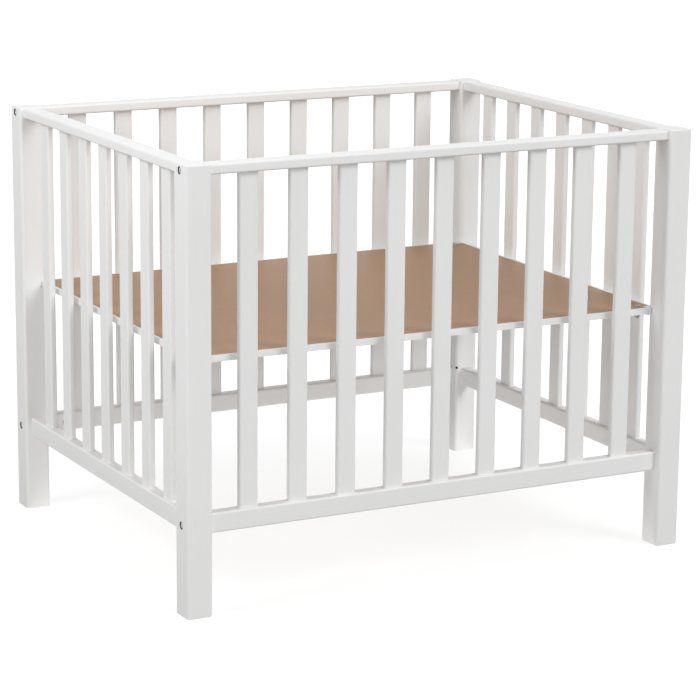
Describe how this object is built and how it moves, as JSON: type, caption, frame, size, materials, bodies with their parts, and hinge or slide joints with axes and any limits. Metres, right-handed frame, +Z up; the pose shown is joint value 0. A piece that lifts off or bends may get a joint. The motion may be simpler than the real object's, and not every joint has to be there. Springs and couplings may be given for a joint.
{
  "type": "playpen",
  "caption": "Rectangular wooden playpen with four square corner posts, flat vertical slats between rails, an open top and a raised hardboard base with adjustable height.",
  "frame": {"origin": "on the floor, under the middle of the pen's rectangular plan", "axes": "+X to the right along the long side, +Y from front to back, +Z up"},
  "size_m": [1.01, 0.8, 0.785],
  "materials": {
    "white_lacquered_wood": "smooth satin white lacquer",
    "brown_hardboard": "smooth semi-gloss hardboard, mid brown, fine dark flecks",
    "zinc_plated_steel": "bright zinc plating",
    "beech_dowel": "bare fluted beech"
  },
  "bodies": {
    "frame": {"post_front_left": "white_lacquered_wood", "post_front_right": "white_lacquered_wood", "post_back_left": "white_lacquered_wood", "post_back_right": "white_lacquered_wood", "top_rail_front": "white_lacquered_wood", "top_rail_back": "white_lacquered_wood", "top_rail_left": "white_lacquered_wood", "top_rail_right": "white_lacquered_wood", "bottom_rail_front": "white_lacquered_wood", "bottom_rail_back": "white_lacquered_wood", "bottom_rail_left": "white_lacquered_wood", "bottom_rail_right": "white_lacquered_wood", "slat_front_1": "white_lacquered_wood", "slat_front_2": "white_lacquered_wood", "slat_front_3": "white_lacquered_wood", "slat_front_4": "white_lacquered_wood", "slat_front_5": "white_lacquered_wood", "slat_front_6": "white_lacquered_wood", "slat_front_7": "white_lacquered_wood", "slat_front_8": "white_lacquered_wood", "slat_front_9": "white_lacquered_wood", "slat_back_1": "white_lacquered_wood", "slat_back_2": "white_lacquered_wood", "slat_back_3": "white_lacquered_wood", "slat_back_4": "white_lacquered_wood", "slat_back_5": "white_lacquered_wood", "slat_back_6": "white_lacquered_wood", "slat_back_7": "white_lacquered_wood", "slat_back_8": "white_lacquered_wood", "slat_back_9": "white_lacquered_wood", "slat_left_1": "white_lacquered_wood", "slat_left_2": "white_lacquered_wood", "slat_left_3": "white_lacquered_wood", "slat_left_4": "white_lacquered_wood", "slat_left_5": "white_lacquered_wood", "slat_left_6": "white_lacquered_wood", "slat_left_7": "white_lacquered_wood", "slat_right_1": "white_lacquered_wood", "slat_right_2": "white_lacquered_wood", "slat_right_3": "white_lacquered_wood", "slat_right_4": "white_lacquered_wood", "slat_right_5": "white_lacquered_wood", "slat_right_6": "white_lacquered_wood", "slat_right_7": "white_lacquered_wood", "panel_bolts": "zinc_plated_steel", "barrel_nuts": "zinc_plated_steel", "side_dowels": "beech_dowel", "locating_dowels": "beech_dowel"},
    "base": {"base_panel": "brown_hardboard", "base_rail_front": "white_lacquered_wood", "base_rail_back": "white_lacquered_wood", "base_rail_left": "white_lacquered_wood", "base_rail_right": "white_lacquered_wood", "base_rail_middle": "white_lacquered_wood", "base_dowels": "beech_dowel", "corner_eyes": "zinc_plated_steel", "base_bolts": "zinc_plated_steel", "base_nuts": "zinc_plated_steel"}
  },
  "joints": [
    {"name": "base_height", "type": "slide", "parent": "frame", "child": "base", "axis": [0, 0, 1], "range_m": [-0.2545, 0]}
  ]
}
